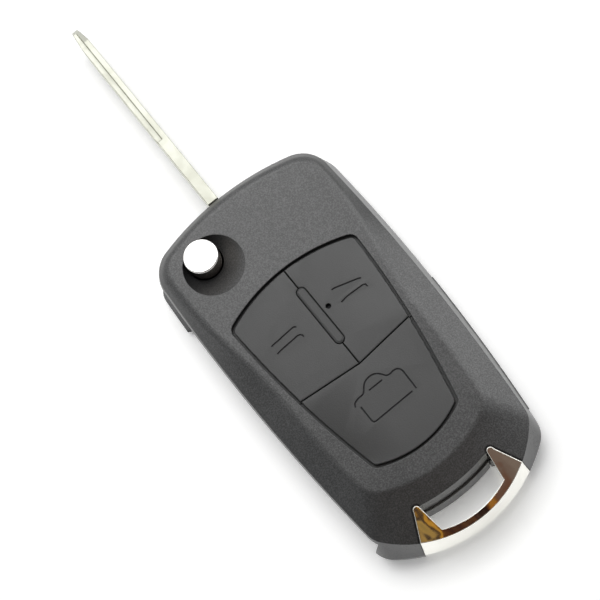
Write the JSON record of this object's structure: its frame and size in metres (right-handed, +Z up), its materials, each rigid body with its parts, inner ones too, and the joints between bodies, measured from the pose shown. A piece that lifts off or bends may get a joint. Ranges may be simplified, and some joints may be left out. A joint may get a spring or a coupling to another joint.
{
  "type": "flip key remote shell",
  "caption": "Pocket flip key shell with a fold-out uncut blade on a sprung hub, a press button in a thumb scoop, a shield-shaped button pad and a chrome key-ring bar.",
  "frame": {"origin": "centre of the flat back, on the table", "axes": "+X across the case, +Y towards the blade, +Z up out of the button face"},
  "size_m": [0.0406, 0.1237, 0.0158],
  "materials": {
    "shell": "fine-grained matte dark grey",
    "pad": "soft-touch matte dark grey",
    "mat": "matte",
    "chrome": "mirror-bright plating",
    "lens": "dark tinted, polished",
    "inner": "moulded",
    "hub": "satin moulded",
    "steel": "bright",
    "blade": "bright nickel silver, uncut"
  },
  "bodies": {
    "case": {"upper_case": "shell", "lower_case": "shell", "battery_cover": "shell", "keyring_bar": "chrome", "pad_frame": "pad", "button_mat": "mat", "led_window": "lens", "spring_anchor": "inner", "hub_washer": "steel", "case_screws": "steel"},
    "hub": {"flip_hub": "hub", "key_blade": "blade", "blade_pin": "steel", "flip_spring": "steel"},
    "release": {"release_button": "chrome", "release_plunger": "inner"},
    "lock": {"lock_button": "pad"},
    "unlock": {"unlock_button": "pad"},
    "boot": {"boot_button": "pad"}
  },
  "joints": [
    {"name": "blade_flip", "type": "hinge", "parent": "case", "child": "hub", "pos_m": [-0.00966, 0.02818, 0], "axis": [0, 0, 1], "range_deg": [0, 183.3], "stiffness_Nm_per_rad": 0.006, "springref_deg": -68.75},
    {"name": "release_press", "type": "slide", "parent": "hub", "child": "release", "axis": [0, 0, -1], "range_m": [0, 0.0018], "stiffness_N_per_m": 300, "springref_m": -0.006, "deforming": ["flip_spring"]},
    {"name": "lock_press", "type": "slide", "parent": "case", "child": "lock", "axis": [0, 0, -1], "range_m": [0, 0.0006], "stiffness_N_per_m": 1500, "springref_m": -0.0004, "deforming": ["button_mat"]},
    {"name": "unlock_press", "type": "slide", "parent": "case", "child": "unlock", "axis": [0, 0, -1], "range_m": [0, 0.0006], "stiffness_N_per_m": 1500, "springref_m": -0.0004, "deforming": ["button_mat"]},
    {"name": "boot_press", "type": "slide", "parent": "case", "child": "boot", "axis": [0, 0, -1], "range_m": [0, 0.0006], "stiffness_N_per_m": 1500, "springref_m": -0.0004, "deforming": ["button_mat"]}
  ]
}
